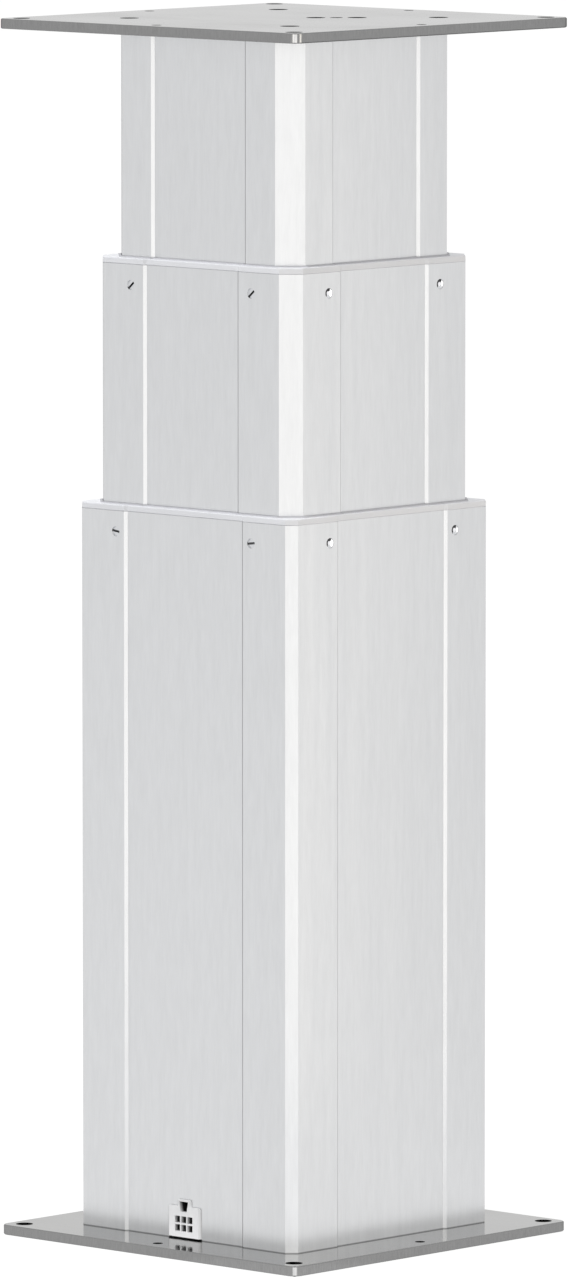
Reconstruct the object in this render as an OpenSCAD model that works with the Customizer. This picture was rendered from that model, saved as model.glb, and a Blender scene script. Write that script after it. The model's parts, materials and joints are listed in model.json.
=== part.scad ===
// Electric lifting column: three nested square profiles driven by one telescopic screw.
// Units are millimetres, +Z is up, and the origin is the middle of the base plate's underside.
// Every stage is drawn at the place it has when the column is closed, then lifted to the
// half-open pose by on_mid() and on_inner().

/* [Plates] */
// Side of the square base plate and top plate
plate_w = 200; // [198:1:220]
// Thickness of the base plate
base_t = 5; // [5:0.5:6]
// Thickness of the top plate
top_t = 5; // [5:0.5:8]
// Corner radius of both plates
plate_r = 5; // [3:0.5:8]
// Distance of the fixing holes from the edges of the plates
fix_edge = 8.75; // [8:0.25:10]
// Diameter of the fixing holes in the corners
corner_hole_d = 8.5; // [6:0.1:9]
// Diameter of the fixing holes at the middle of each side
side_hole_d = 5; // [3:0.1:6]

/* [Profiles] */
// Width of the outer profile across its flats
outer_w = 145.5; // [145:0.5:148]
// Difference in width between a profile and the next one inside it
nest_step = 11; // [11:0.25:11.5]
// Wall thickness of all three profiles
wall = 3; // [2.8:0.1:3]
// Leg of the corner chamfers of the outer profile
outer_chamfer = 4.5; // [4:0.1:5]
// Leg of the corner chamfers of the middle profile
mid_chamfer = 8.3; // [8:0.1:9]
// Leg of the corner chamfers of the inner profile
inner_chamfer = 10.4; // [10:0.1:11]
// Width of the sunk panel on each face of the outer profile
outer_panel_w = 80; // [76:1:82]
// Width of the sunk panel on each face of the middle profile
mid_panel_w = 64; // [60:1:66]
// Width of the sunk panel on each face of the inner profile
inner_panel_w = 63.5; // [60:0.5:65]
// Depth of the sunk panels
panel_d = 1.2; // [0.8:0.1:1.3]
// Run of the slope down to each sunk panel
panel_slope = 1.5; // [1.2:0.1:1.8]
// Length of the outer profile
outer_len = 357.5; // [356:0.5:360]
// Length of the middle profile
mid_len = 329; // [328:1:332]
// Length of the inner profile
inner_len = 335; // [333:1:340]
// Height of the plastic rim caps on the outer and middle profiles
cap_h = 3; // [2.5:0.5:3]

/* [Travel] */
// Rise of each moving stage in the pose that is drawn, from the closed column
rest_lift = 105; // [0:1:200]
// Rise of each moving stage when the column is fully open
stage_stroke = 200; // [200:1:200]

/* [Drive] */
// Distance of the telescopic screw from the middle of the column, along the diagonal
screw_offset = 25.8; // [25.5:0.1:26]
// Module of the gear pair
gear_module = 2; // [2:1:2]
// Teeth on the motor pinion
pinion_teeth = 18; // [18:1:18]
// Teeth on the driven gear
gear_teeth = 42; // [42:1:42]
// Pressure angle of the gear pair
pressure_angle = 20; // [20:1:20]
// Tooth thinning on each gear, for backlash
tooth_play = 0.15; // [0.1:0.01:0.25]
// Diameter of the motor housing
motor_d = 54; // [50:1:54]
// Length of the motor housing
motor_len = 90; // [70:1:100]
// Outer diameter of the fixed screw
fixed_screw_d = 18; // [18:1:18]
// Outer diameter of the hollow screw
hollow_screw_d = 32; // [32:1:32]
// Outer diameter of the push tube
push_tube_d = 40; // [40:1:40]
// Diameter of the drive rod
drive_rod_d = 8; // [8:1:8]

/* [Socket] */
// Width of the socket's face
socket_w = 22.2; // [20:0.1:24]
// Pitch of the six contacts
contact_pitch = 4.2; // [4:0.1:4.2]
// Side of each square contact cavity
cavity_w = 3.4; // [2.8:0.1:3.4]

/* [Hidden] */
$fn = 48;

// Half widths across the flats of the three profiles, and of their sunk panels
outer_h = outer_w / 2;
mid_h = outer_h - nest_step / 2;
inner_h = mid_h - nest_step / 2;
outer_p = outer_panel_w / 2;
mid_p = mid_panel_w / 2;
inner_p = inner_panel_w / 2;

// Screw ports in the corners of the profiles: bore, boss, and distance inside the chamfer
port_r = 2.4;
port_boss_r = 4.6;
port_inset = 3.9;
port_slit = 1.6;

// Distance from the middle of the column to each profile's screw ports, along the diagonal
outer_port = sqrt(2) * outer_h - outer_chamfer / sqrt(2) - port_inset;
mid_port = sqrt(2) * mid_h - mid_chamfer / sqrt(2) - port_inset;
inner_port = sqrt(2) * inner_h - inner_chamfer / sqrt(2) - port_inset;

// Chamfer that breaks the edges of the plates, and rebate round the foot of the outer profile
edge_break = 0.5;
foot_break = 0.3;

// Heights, with the column closed
case_top = base_t + 23;
lid_top = case_top + 4;
bracket_z = lid_top + 10;
bracket_t = 8;
mid_z = bracket_z + bracket_t;
mid_top = mid_z + mid_len;
inner_z = mid_z + 4;
inner_top = inner_z + inner_len;
outer_top = base_t + outer_len;

// Axes of the telescopic screw and of the motor, both on the diagonal of the column
gear_distance = gear_module * (pinion_teeth + gear_teeth) / 2;
drive_xy = screw_offset / sqrt(2);
motor_xy = (gear_distance - screw_offset) / sqrt(2);
motor_r = motor_d / 2;

// Gear pair and its case
gear_z = base_t + 6.5;
gear_w = 12;
case_floor = 3;
case_wall = 2.5;
tip_room = 1.5;
gear_tip_r = gear_module * (gear_teeth / 2 + 1);
pinion_tip_r = gear_module * (pinion_teeth / 2 + 1);
lid_boss_r = 20;
lid_boss_z = gear_z + gear_w + 0.7;
case_screw_r = 2.5;
case_lug_r = 6;
case_lugs = [
    turned([0, 51], 45) + [drive_xy, drive_xy],
    turned([0, -51], 45) + [drive_xy, drive_xy],
    turned([52, 0], 45) + [drive_xy, drive_xy],
    turned([-33, 0], 45) - [motor_xy, motor_xy]
];

// Telescopic screw, with the column closed
rod_r = drive_rod_d / 2;
fixed_r = fixed_screw_d / 2;
hollow_r = hollow_screw_d / 2;
hollow_bore_r = 10;
nut_seat_r = 12.5;
nut_len = 20;
housing_floor = 4;
housing_r = 30;
housing_bore_r = 24.2;
bearing_h = 8;
collar_r = 21;
collar_h = 4;
hollow_z = bracket_z + housing_floor + 0.5;
hollow_top = 300;
collar_z = bracket_z + housing_floor + bearing_h;
housing_top = collar_z + collar_h + bearing_h;
retainer_t = 4;
inner_nut_top = hollow_z + nut_len;
fixed_top = inner_nut_top + stage_stroke + 2;
driver_z = fixed_top + 2;
driver_h = 16;
driver_r = hollow_bore_r - 0.3;
key_w = 4;
key_r = 12.1;
key_play = 0.3;
outer_nut_z = housing_top + retainer_t + 3;
outer_nut_r = 25;
outer_nut_thread = 22;
outer_nut_h = 30;
tube_r = push_tube_d / 2;
tube_bore_r = tube_r - 2.8;
plug_flange_r = 22;
plug_flange_t = 6;
plug_spigot = 20;
plug_screw_off = 10.2;
flange_bolt_pcr = 15;
flange_t = 5;
pin_r = 1.5;
pin_len = 18;

// Slide pads: the upper ones are set by screws or pegs, the foot pads are pegged
pad_w = 13;
pad_h = 20;
foot_pad_h = 30;
pad_play = 0.1;
pad_drop = 13.1;
outer_pad_x = 48.7;
outer_peg_x = 45.5;
mid_pad_x = 40.4;
mid_peg_x = 40.4;
mid_foot_x = 50;
inner_foot_x = 41.2;
foot_pad_z = 2;
set_screw_r = 2.5;
set_screw_drop = 0.7;
slot_w = 1.1;
slot_d = 1.2;
outer_slots = [-8, 7];
mid_slots = [41, 41];
peg_drop = 2.2;
head_drop = 0.6;

// Rubber wiper lip that stands on each rim cap, round the next profile
wiper_h = 0.6;
wiper_t = 1.2;
wiper_play = 0.3;
gap = (nest_step / 2) - wall;

// Socket, set in a notch at the foot of the front face
notch_play = 0.1;
socket_z = base_t + 0.8;
socket_top = base_t + 16.2;
hood_w = 9.6;
hood_top = base_t + 19.6;
contact_z = base_t + 7.4;
socket_face_y = -outer_h;
bezel_slope = 1.2;
socket_back_y = -52.7;
lead_t = 1.3;
lead_w = 8;

// A point turned about the origin by a degrees
function turned(p, a) = [p.x * cos(a) - p.y * sin(a), p.x * sin(a) + p.y * cos(a)];

// Sideways shift of a slope's edge when the outline moves out by one
slope_shift = tan(atan2(panel_d, panel_slope) / 2);

// One side of a profile, left to right as seen from -Y: strip, slope, sunk panel, slope, strip
function side_points(h, c, p) = [
    [-(h - c), -h], [-p, -h], [-(p - panel_slope), -(h - panel_d)],
    [p - panel_slope, -(h - panel_d)], [p, -h], [h - c, -h]
];

// Closed outline of a profile, moved out square to its walls by grow
function outline(h, c, p, grow) = [
    for (a = [0:90:270])
        for (q = side_points(h + grow, c + (2 - sqrt(2)) * grow, p - slope_shift * grow))
            turned(q, a)
];

// Polar angle that an involute from base circle rb has gained at radius r
function involute_angle(rb, r) = sqrt(max(0, pow(r / rb, 2) - 1)) * 180 / PI - acos(min(1, rb / r));

function polar(r, a) = [r * cos(a), r * sin(a)];

// Outline of an involute spur gear with a tooth centred on the +X axis
function gear_outline(teeth) =
    let (
        r = gear_module * teeth / 2,
        rb = r * cos(pressure_angle),
        tip = r + gear_module,
        root = r - 1.25 * gear_module,
        start = max(rb, root) + 0.02,
        half = 90 / teeth + involute_angle(rb, r) - tooth_play / r * 90 / PI,
        steps = 4,
        radii = [for (k = [0:steps]) start + (tip - start) * k / steps]
    )
    [
        for (i = [0:teeth - 1])
            let (a = i * 360 / teeth)
            each concat(
                [polar(root, a - half - 0.4)],
                [for (k = [0:steps]) polar(radii[k], a - half + involute_angle(rb, radii[k]))],
                [for (k = [steps:-1:0]) polar(radii[k], a + half - involute_angle(rb, radii[k]))],
                [polar(root, a + half + 0.4)]
            )
    ];

module on_mid() translate([0, 0, rest_lift]) children();
module on_inner() translate([0, 0, 2 * rest_lift]) children();
module at_drive(z = 0) translate([drive_xy, drive_xy, z]) children();
module at_motor(z = 0) translate([-motor_xy, -motor_xy, z]) children();
module four_ways() for (a = [0:90:270]) rotate(a) children();
module three_ways() for (a = [45:120:285]) rotate(a) children();
module corners(off) for (a = [45:90:315]) rotate(a) translate([off, 0, 0]) children();

module disc(z0, z1, r) translate([0, 0, z0]) cylinder(h = z1 - z0, r = r);

module pipe(z0, z1, r, bore) {
    difference() {
        disc(z0, z1, r);
        disc(z0 - 1, z1 + 1, bore);
    }
}

// Cross-section of a plate's rim with its edges broken
module plate_section(start, end, t) {
    polygon([
        [start, 0], [end - edge_break, 0], [end, edge_break], [end, t - edge_break],
        [end - edge_break, t], [start, t]
    ]);
}

// Square plate with round corners and broken edges
module plate(t) {
    straight = plate_w - 2 * plate_r;
    linear_extrude(t)
        square(straight, center = true);
    four_ways()
        rotate([90, 0, 0])
            linear_extrude(straight, center = true)
                plate_section(straight / 2, plate_w / 2, t);
    corners(sqrt(2) * straight / 2)
        rotate(-45)
            rotate_extrude(angle = 90)
                plate_section(0, plate_r, t);
}

// Fixing holes that both plates have: one in each corner and one in the middle of each side
module fixing_holes(t) {
    off = plate_w / 2 - fix_edge;
    corners(sqrt(2) * off) disc(-1, t + 1, corner_hole_d / 2);
    four_ways() translate([off, 0, 0]) disc(-1, t + 1, side_hole_d / 2);
}

// Countersunk screw with a hexagon socket, head up, its top face at z = 0
module countersunk_screw(len, r) {
    head_r = 2 * r;
    difference() {
        union() {
            translate([0, 0, -r]) cylinder(h = r, r1 = r, r2 = head_r);
            disc(-len, -r, r);
        }
        translate([0, 0, -r]) cylinder(h = r + 1, r = 0.95 * r, $fn = 6);
    }
}

// Seat for a countersunk screw whose head lies head_drop below the face at z = 0
module countersink(r) {
    translate([0, 0, -r - head_drop]) cylinder(h = r, r1 = r, r2 = 2 * r);
    disc(-head_drop, 1, 2 * r);
    disc(-12, -r / 2, r + 0.3);
}

// Cap screw with a hexagon socket, its seat at z = 0 and its shank below
module cap_screw(len, r, head_r, head_h) {
    difference() {
        union() {
            disc(-len, 0, r);
            disc(0, head_h, head_r);
        }
        translate([0, 0, head_h / 2]) cylinder(h = head_h, r = 0.5 * head_r, $fn = 6);
    }
}

// Slide pad against a face at y = 0, thickness towards -Y, with eased ends
module slide_pad(t, h) {
    ease = 0.6;
    rotate([90, 0, 90])
        linear_extrude(pad_w, center = true)
            polygon([
                [-t, ease], [-t + ease, 0], [-ease, 0], [0, ease],
                [0, h - ease], [-ease, h], [-t + ease, h], [-t, h - ease]
            ]);
}

// Extruded profile with sunk panels and open screw ports in its corners
module stage_profile(h, c, p, len, port) {
    linear_extrude(len)
        difference() {
            union() {
                difference() {
                    polygon(outline(h, c, p, 0));
                    polygon(outline(h, c, p, -wall));
                }
                intersection() {
                    polygon(outline(h, c, p, 0));
                    corners(port) circle(r = port_boss_r);
                }
            }
            corners(port) {
                circle(r = port_r);
                translate([-port_boss_r - 1, -port_slit / 2])
                    square([port_boss_r + 1, port_slit]);
            }
        }
}

// Round holes through the walls at x = -off and +off on all four faces
module wall_holes(h, off, z, r) {
    four_ways()
        for (s = [-1, 1])
            translate([s * off, -h + wall + 1, z])
                rotate([90, 0, 0])
                    cylinder(h = wall + 2, r = r);
}

// Rim cap: follows the profile's outline outside and the next profile's outline inside
module rim_cap(h, c, p, next_h, next_c, next_p, port) {
    groove = 0.3;
    play = 0.6;
    difference() {
        union() {
            linear_extrude(cap_h) polygon(outline(h, c, p, -groove));
            translate([0, 0, groove])
                linear_extrude(cap_h - 2 * groove)
                    polygon(outline(h, c, p, 0));
        }
        translate([0, 0, -1])
            linear_extrude(cap_h + 2)
                polygon(outline(next_h, next_c, next_p, play));
    }
    corners(port) disc(-8, 0.1, port_r);
}

// Wiper lip round the next profile, standing on a rim cap
module wiper(next_h, next_c, next_p) {
    linear_extrude(wiper_h)
        difference() {
            polygon(outline(next_h, next_c, next_p, wiper_play + wiper_t));
            polygon(outline(next_h, next_c, next_p, wiper_play));
        }
}

// Slotted set screws in the two adjustable faces, their ends a little below the face
module set_screws(h, off, z, slots) {
    tip = gap - pad_play - 0.2;
    len = wall - set_screw_drop + gap - pad_play - tip;
    for (a = [0, 270])
        rotate(a)
            for (s = [0, 1])
                translate([(2 * s - 1) * off, -h + set_screw_drop, z])
                    rotate([-90, 0, 0])
                        difference() {
                            cylinder(h = len, r = set_screw_r);
                            rotate(-slots[s])
                                translate([-3, -slot_w / 2, -1])
                                    cube([6, slot_w, slot_d + 1]);
                        }
}

// Pads pressed by the set screws, on the two adjustable faces
module adjusting_pads(h, off, z) {
    tip = gap - pad_play - 0.2;
    for (a = [0, 270])
        rotate(a)
            for (s = [-1, 1])
                translate([s * off, -h + wall + gap - pad_play, z - pad_h / 2])
                    slide_pad(tip, pad_h);
}

// Pads of the two fixed faces, each held by a round peg through the wall
module fixed_pads(h, pad_x, peg_x, z) {
    for (a = [90, 180])
        rotate(a)
            for (s = [-1, 1]) {
                translate([s * pad_x, -h + wall + gap - pad_play, z - pad_h / 2])
                    slide_pad(gap - pad_play, pad_h);
                translate([s * peg_x, -h + peg_drop, z])
                    rotate([-90, 0, 0])
                        disc(0, wall + 0.5 - peg_drop, set_screw_r);
            }
}

// Pads on the outside of a moving profile's foot, pegged into its wall
module foot_pads(h, off) {
    four_ways()
        for (s = [-1, 1])
            translate([s * off, -h, foot_pad_z]) {
                slide_pad(gap - pad_play, foot_pad_h);
                translate([0, -0.2, foot_pad_h / 2])
                    rotate([-90, 0, 0])
                        cylinder(h = wall, r = set_screw_r);
            }
}

module base_plate() {
    color([0.62, 0.63, 0.64])
        difference() {
            plate(base_t);
            fixing_holes(base_t);
            corners(outer_port) rotate([180, 0, 0]) countersink(port_r);
            for (p = case_lugs)
                translate([p.x, p.y, 0]) disc(1, base_t + 1, case_screw_r);
        }
}

module profile_foot_screws() {
    color([0.35, 0.35, 0.36])
        corners(outer_port)
            translate([0, 0, head_drop])
                rotate([180, 0, 0])
                    countersunk_screw(28, port_r);
}

// Outline of the socket's bezel in the XZ plane
module bezel_outline(grow) {
    ease = 1.2;
    half = socket_w / 2 + grow;
    top = socket_top + grow;
    polygon([
        [-half, socket_z - grow], [half, socket_z - grow], [half, top - ease],
        [half - ease, top], [-half + ease, top], [-half, top - ease]
    ]);
}

// Outline of the latch hood on top of the bezel
module hood_outline(grow) {
    ease = 1.2;
    half = hood_w / 2 + grow;
    top = hood_top + grow;
    polygon([
        [-half, contact_z], [half, contact_z], [half, top - ease],
        [half - ease, top], [-half + ease, top], [-half, top - ease]
    ]);
}

// Face of the socket: the bezel with the latch hood above it
module socket_face(grow) {
    bezel_outline(grow);
    hood_outline(grow);
}

// Extrudes an XZ outline from y0 to y1
module along_y(y0, y1) translate([0, y1, 0]) rotate([90, 0, 0]) linear_extrude(y1 - y0) children();

// XZ outline from the socket's face to y_back, its two sides bevelled at the face
module bevelled(half, y_back) {
    intersection() {
        along_y(socket_face_y, y_back) children();
        linear_extrude(hood_top + 1)
            polygon([
                [-half + bezel_slope, socket_face_y], [half - bezel_slope, socket_face_y],
                [half, socket_face_y + bezel_slope], [half, y_back + 1],
                [-half, y_back + 1], [-half, socket_face_y + bezel_slope]
            ]);
    }
}

// Fine rebate round the outer profile's sawn foot
module foot_rebate() {
    translate([0, 0, base_t - 1])
        linear_extrude(1 + foot_break)
            difference() {
                polygon(outline(outer_h, outer_chamfer, outer_p, 1));
                polygon(outline(outer_h, outer_chamfer, outer_p, -foot_break));
            }
}

module outer_profile() {
    color([0.84, 0.85, 0.86])
        difference() {
            translate([0, 0, base_t])
                stage_profile(outer_h, outer_chamfer, outer_p, outer_len, outer_port);
            wall_holes(outer_h, outer_peg_x, outer_top + cap_h - pad_drop, set_screw_r);
            foot_rebate();
            along_y(-outer_h - 1, -outer_h + wall + 4) {
                socket_face(notch_play);
                translate([-socket_w / 2 - notch_play, base_t - 1])
                    square([socket_w + 2 * notch_play, 4]);
            }
        }
}

module outer_rim_cap() {
    color([0.80, 0.80, 0.83])
        translate([0, 0, outer_top])
            rim_cap(outer_h, outer_chamfer, outer_p, mid_h, mid_chamfer, mid_p, outer_port);
}

module outer_wiper() {
    color([0.52, 0.53, 0.55])
        translate([0, 0, outer_top + cap_h])
            wiper(mid_h, mid_chamfer, mid_p);
}

module outer_set_screws() {
    color([0.60, 0.60, 0.62])
        set_screws(outer_h, outer_peg_x, outer_top + cap_h - pad_drop, outer_slots);
}

module outer_adjusting_pads() {
    color([0.90, 0.90, 0.88])
        adjusting_pads(outer_h, outer_pad_x, outer_top + cap_h - pad_drop);
}

module outer_fixed_pads() {
    color([0.90, 0.90, 0.88])
        fixed_pads(outer_h, outer_pad_x, outer_peg_x, outer_top + cap_h - pad_drop);
}

module each_contact() {
    for (x = [-1:1])
        for (z = [-0.5, 0.5])
            translate([x * contact_pitch, contact_z + z * contact_pitch])
                children();
}

module socket_housing() {
    flange_y = -outer_h + wall + panel_d;
    body_w = socket_w - 4;
    window_w = 4;
    window_top_w = 6;
    window_z = base_t + 13.4;
    window_top = base_t + 18.5;
    color([0.86, 0.86, 0.88])
        difference() {
            union() {
                bevelled(socket_w / 2, flange_y + 1.5) bezel_outline(0);
                bevelled(hood_w / 2, flange_y + 1.5) hood_outline(0);
                along_y(flange_y, flange_y + 1.5)
                    translate([-socket_w / 2 - 2, base_t + 0.2])
                        square([socket_w + 4, hood_top - base_t + 2]);
                along_y(flange_y, socket_back_y)
                    translate([-body_w / 2, socket_z])
                        square([body_w, 13]);
            }
            along_y(socket_face_y - 1, socket_back_y - 6)
                each_contact()
                    square(cavity_w, center = true);
            along_y(socket_back_y - 7, socket_back_y + 1)
                each_contact()
                    square(1.2, center = true);
            along_y(socket_face_y - 1, flange_y + 3)
                polygon([
                    [-window_w / 2, window_z], [window_w / 2, window_z],
                    [window_top_w / 2, window_top], [-window_top_w / 2, window_top]
                ]);
        }
}

module socket_contacts() {
    color([0.45, 0.42, 0.38])
        along_y(socket_face_y + 4, socket_back_y)
            each_contact()
                square(1.2, center = true);
}

// Flat lead from the back of the socket to the motor's end cap
module motor_lead() {
    lead_top = lid_top + motor_len;
    color([0.12, 0.12, 0.13])
        along_y(socket_back_y, socket_back_y + lead_t)
            polygon([
                [-motor_xy - lead_w / 2, contact_z - lead_w / 2], [6, contact_z - lead_w / 2],
                [6, contact_z + lead_w / 2], [-motor_xy + lead_w / 2, contact_z + lead_w / 2],
                [-motor_xy + lead_w / 2, lead_top], [-motor_xy - lead_w / 2, lead_top]
            ]);
}

// Outline round the gear pair: two circles joined by lines just inside their outer tangents
module gear_pair_outline(big, small) {
    a = acos((big - small) / gear_distance);
    inside = 0.4;
    translate([drive_xy, drive_xy]) circle(r = big);
    translate([-motor_xy, -motor_xy]) circle(r = small);
    polygon([
        [drive_xy, drive_xy] + polar(big - inside, 225 - a),
        [-motor_xy, -motor_xy] + polar(small - inside, 225 - a),
        [-motor_xy, -motor_xy] + polar(small - inside, 225 + a),
        [drive_xy, drive_xy] + polar(big - inside, 225 + a)
    ]);
}

module case_outline() {
    gear_pair_outline(gear_tip_r + tip_room + case_wall, pinion_tip_r + tip_room + case_wall);
    for (p = case_lugs)
        translate(p) circle(r = case_lug_r);
    translate(case_lugs[3])
        rotate(45)
            translate([0, -case_lug_r + 1])
                square([12, 2 * case_lug_r - 2]);
}

module gear_case() {
    boss_top = gear_z - 1;
    color([0.20, 0.21, 0.22])
        difference() {
            union() {
                translate([0, 0, base_t])
                    linear_extrude(case_top - base_t)
                        difference() {
                            case_outline();
                            gear_pair_outline(gear_tip_r + tip_room, pinion_tip_r + tip_room);
                        }
                translate([0, 0, base_t])
                    linear_extrude(case_floor)
                        gear_pair_outline(gear_tip_r + tip_room + 1, pinion_tip_r + tip_room + 1);
                at_drive() disc(base_t, boss_top, 10);
            }
            at_drive() disc(base_t - 1, boss_top + 1, 7);
            for (p = case_lugs)
                translate([p.x, p.y, 0]) disc(base_t - 1, case_top + 1, case_screw_r + 0.3);
        }
}

module gear_case_lid() {
    color([0.24, 0.25, 0.26])
        difference() {
            union() {
                translate([0, 0, case_top])
                    linear_extrude(lid_top - case_top)
                        case_outline();
                at_drive() disc(lid_boss_z, case_top, lid_boss_r);
            }
            at_drive() disc(lid_boss_z + 0.8, lid_top + 1, 11);
            at_drive() disc(lid_boss_z - 1, lid_top, 9);
            at_drive()
                three_ways()
                    translate([flange_bolt_pcr, 0, 0])
                        disc(lid_boss_z - 1, lid_top + 1, 2);
            at_motor() disc(case_top - 1, lid_top + 1, 9);
            at_motor()
                corners(18)
                    translate([0, 0, case_top])
                        rotate([180, 0, 0])
                            countersink(2);
            for (p = case_lugs)
                translate([p.x, p.y, 0]) disc(case_top - 1, lid_top + 1, case_screw_r + 0.3);
        }
}

module gear_case_screws() {
    color([0.55, 0.55, 0.56])
        for (p = case_lugs)
            translate([p.x, p.y, lid_top])
                cap_screw(lid_top - 1, case_screw_r, 4.25, 5);
}

module drive_rod_bush() {
    color([0.72, 0.55, 0.25])
        at_drive()
            difference() {
                union() {
                    disc(base_t + 0.5, gear_z - 1, 7);
                    disc(gear_z - 1, gear_z - 0.3, 9);
                }
                disc(base_t, gear_z, rod_r + 0.05);
            }
}

// Ball bearing of the drive rod, with its shields drawn as shallow grooves
module drive_rod_bearing() {
    z0 = lid_boss_z + 0.8;
    color([0.70, 0.71, 0.72])
        at_drive()
            difference() {
                pipe(z0, lid_top, 11, rod_r + 0.05);
                pipe(z0 - 1, z0 + 0.4, 9.2, 6);
                pipe(lid_top - 0.4, lid_top + 1, 9.2, 6);
            }
}

module motor_housing() {
    shaft_bore = 3.05;
    color([0.30, 0.31, 0.32])
        at_motor(lid_top)
            difference() {
                union() {
                    rotate_extrude()
                        polygon([
                            [0, 0], [motor_r - 1.5, 0], [motor_r, 1.5], [motor_r, motor_len - 2],
                            [motor_r - 2, motor_len], [0, motor_len]
                        ]);
                    disc(-2, 0.1, 8.9);
                }
                disc(-3, 20, shaft_bore);
                corners(18) disc(-1, 8, 2);
            }
}

module motor_end_cap() {
    cap_z = lid_top + motor_len;
    color([0.10, 0.10, 0.11]) {
        at_motor(cap_z)
            rotate_extrude()
                polygon([[0, 0], [24, 0], [24, 9], [21, 12], [0, 12]]);
        translate([-motor_xy, 0, cap_z])
            difference() {
                translate([-5, socket_back_y, 0])
                    cube([10, 8, 8]);
                translate([-2, socket_back_y - 1, 3])
                    cube([4, 2, 3]);
            }
    }
}

module motor_screws() {
    color([0.55, 0.55, 0.56])
        at_motor()
            corners(18)
                translate([0, 0, case_top + head_drop])
                    rotate([180, 0, 0])
                        countersunk_screw(10, 2);
}

module fixed_screw() {
    color([0.66, 0.67, 0.68])
        at_drive()
            difference() {
                union() {
                    disc(lid_top, fixed_top, fixed_r);
                    disc(lid_top, lid_top + flange_t, 20);
                }
                disc(lid_top - 1, fixed_top + 1, rod_r + 1);
                three_ways()
                    translate([flange_bolt_pcr, 0, 0])
                        disc(lid_top - 1, lid_top + flange_t + 1, 2.2);
            }
}

module fixed_screw_bolts() {
    color([0.35, 0.35, 0.36])
        at_drive(lid_top + flange_t)
            three_ways()
                translate([flange_bolt_pcr, 0, 0])
                    cap_screw(11, 2, 3.5, 2.6);
}

module fixed_screw_bush() {
    color([0.72, 0.55, 0.25])
        at_drive() pipe(fixed_top - 8, fixed_top, rod_r + 1, rod_r + 0.05);
}

module motor_shaft() {
    color([0.70, 0.71, 0.72])
        at_motor() disc(gear_z - 1.5, lid_top + 18, 3);
}

module motor_pinion() {
    color([0.66, 0.66, 0.62])
        at_motor(gear_z - 0.5)
            rotate(45 + 180 / pinion_teeth)
                difference() {
                    linear_extrude(gear_w + 1) polygon(gear_outline(pinion_teeth));
                    disc(-1, gear_w + 2, 3);
                }
}

module drive_rod() {
    color([0.70, 0.71, 0.72])
        at_drive()
            difference() {
                disc(base_t + 0.6, driver_z + driver_h + 1.5, rod_r);
                cross_pins(pin_r);
            }
}

// Places of the two cross pins, through the driven gear's hub and through the driver head
module cross_pins(r) {
    for (z = [gear_z + gear_w / 2, driver_z + driver_h / 2])
        translate([0, 0, z])
            rotate([90, 0, 45])
                cylinder(h = pin_len, r = r, center = true);
}

module driven_gear() {
    hub_r = 10;
    rim_r = gear_tip_r - 9;
    web = 4;
    color([0.90, 0.89, 0.84])
        at_drive()
            difference() {
                translate([0, 0, gear_z])
                    rotate(225)
                        linear_extrude(gear_w)
                            polygon(gear_outline(gear_teeth));
                for (z = [gear_z - 1, gear_z + (gear_w + web) / 2])
                    pipe(z, z + 1 + (gear_w - web) / 2, rim_r, hub_r);
                for (a = [0:60:300])
                    rotate(a)
                        translate([(hub_r + rim_r) / 2, 0, 0])
                            disc(gear_z - 1, gear_z + gear_w + 1, 8);
                disc(gear_z - 1, gear_z + gear_w + 1, rod_r);
                cross_pins(pin_r);
            }
}

module driver_head() {
    color([0.60, 0.60, 0.58])
        at_drive()
            difference() {
                union() {
                    disc(driver_z, driver_z + driver_h, driver_r);
                    translate([-key_r, -key_w / 2, driver_z])
                        cube([2 * key_r, key_w, driver_h]);
                }
                disc(driver_z - 1, driver_z + driver_h + 1, rod_r);
                cross_pins(pin_r);
            }
}

module drive_pins() {
    color([0.45, 0.45, 0.46])
        at_drive() cross_pins(pin_r);
}

module mid_profile() {
    color([0.84, 0.85, 0.86])
        on_mid()
            difference() {
                translate([0, 0, mid_z])
                    stage_profile(mid_h, mid_chamfer, mid_p, mid_len, mid_port);
                wall_holes(mid_h, mid_peg_x, mid_top + cap_h - pad_drop, set_screw_r);
                wall_holes(mid_h, mid_foot_x, mid_z + foot_pad_z + foot_pad_h / 2, set_screw_r);
            }
}

module mid_rim_cap() {
    color([0.80, 0.80, 0.83])
        on_mid()
            translate([0, 0, mid_top])
                rim_cap(mid_h, mid_chamfer, mid_p, inner_h, inner_chamfer, inner_p, mid_port);
}

module mid_wiper() {
    color([0.52, 0.53, 0.55])
        on_mid()
            translate([0, 0, mid_top + cap_h])
                wiper(inner_h, inner_chamfer, inner_p);
}

module mid_set_screws() {
    color([0.60, 0.60, 0.62])
        on_mid() set_screws(mid_h, mid_peg_x, mid_top + cap_h - pad_drop, mid_slots);
}

module mid_adjusting_pads() {
    color([0.90, 0.90, 0.88])
        on_mid() adjusting_pads(mid_h, mid_pad_x, mid_top + cap_h - pad_drop);
}

module mid_fixed_pads() {
    color([0.90, 0.90, 0.88])
        on_mid() fixed_pads(mid_h, mid_pad_x, mid_peg_x, mid_top + cap_h - pad_drop);
}

module mid_foot_pads() {
    color([0.90, 0.90, 0.88])
        on_mid() translate([0, 0, mid_z]) foot_pads(mid_h, mid_foot_x);
}

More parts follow.
